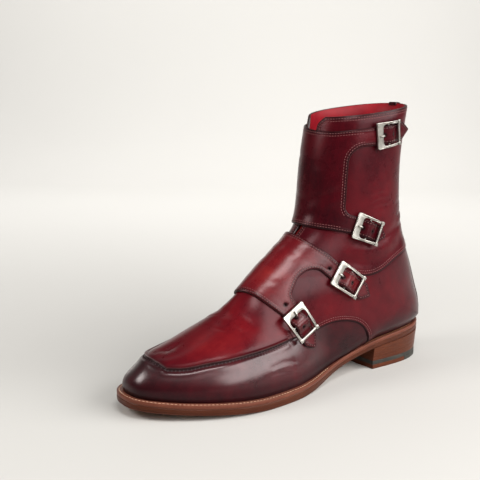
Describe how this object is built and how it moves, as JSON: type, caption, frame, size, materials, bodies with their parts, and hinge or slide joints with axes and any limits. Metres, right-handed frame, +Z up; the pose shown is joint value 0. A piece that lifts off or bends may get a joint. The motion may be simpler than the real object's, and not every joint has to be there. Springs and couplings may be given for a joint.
{
  "type": "dress boot",
  "caption": "Left ankle dress boot with an apron toe, a leather sole and a low stacked heel, fastened by straps and square buckles on two wrap-over flaps.",
  "frame": {"origin": "on the floor, under the middle of the boot's length and width", "axes": "+X points to the toe, +Y to the wearer's left (the outside of this left boot), +Z up"},
  "size_m": [0.3078, 0.1041, 0.234],
  "materials": {
    "burgundy_leather": "polished, hand-coloured burgundy, darker at the edges",
    "strap_leather": "polished burgundy with dark painted edges",
    "tongue_leather": "smooth, soft red",
    "sole_leather": "stained brown edge, waxed",
    "insole_leather": "natural, matte",
    "rubber": "matte",
    "buckle_metal": "aged silver"
  },
  "bodies": {
    "root": {"upper": "burgundy_leather", "backstay": "burgundy_leather", "ankle_flap": "strap_leather", "instep_flap": "strap_leather", "tongue": "tongue_leather", "insole": "insole_leather", "welt": "sole_leather", "outsole": "sole_leather", "heel_stack": "sole_leather", "heel_lift": "rubber", "top_piece_front": "sole_leather", "top_piece_rear": "rubber", "buckle_1": "buckle_metal", "buckle_2": "buckle_metal", "buckle_3": "buckle_metal", "buckle_4": "buckle_metal", "prong_1": "buckle_metal", "prong_2": "buckle_metal", "prong_3": "buckle_metal", "prong_4": "buckle_metal"}
  },
  "joints": []
}
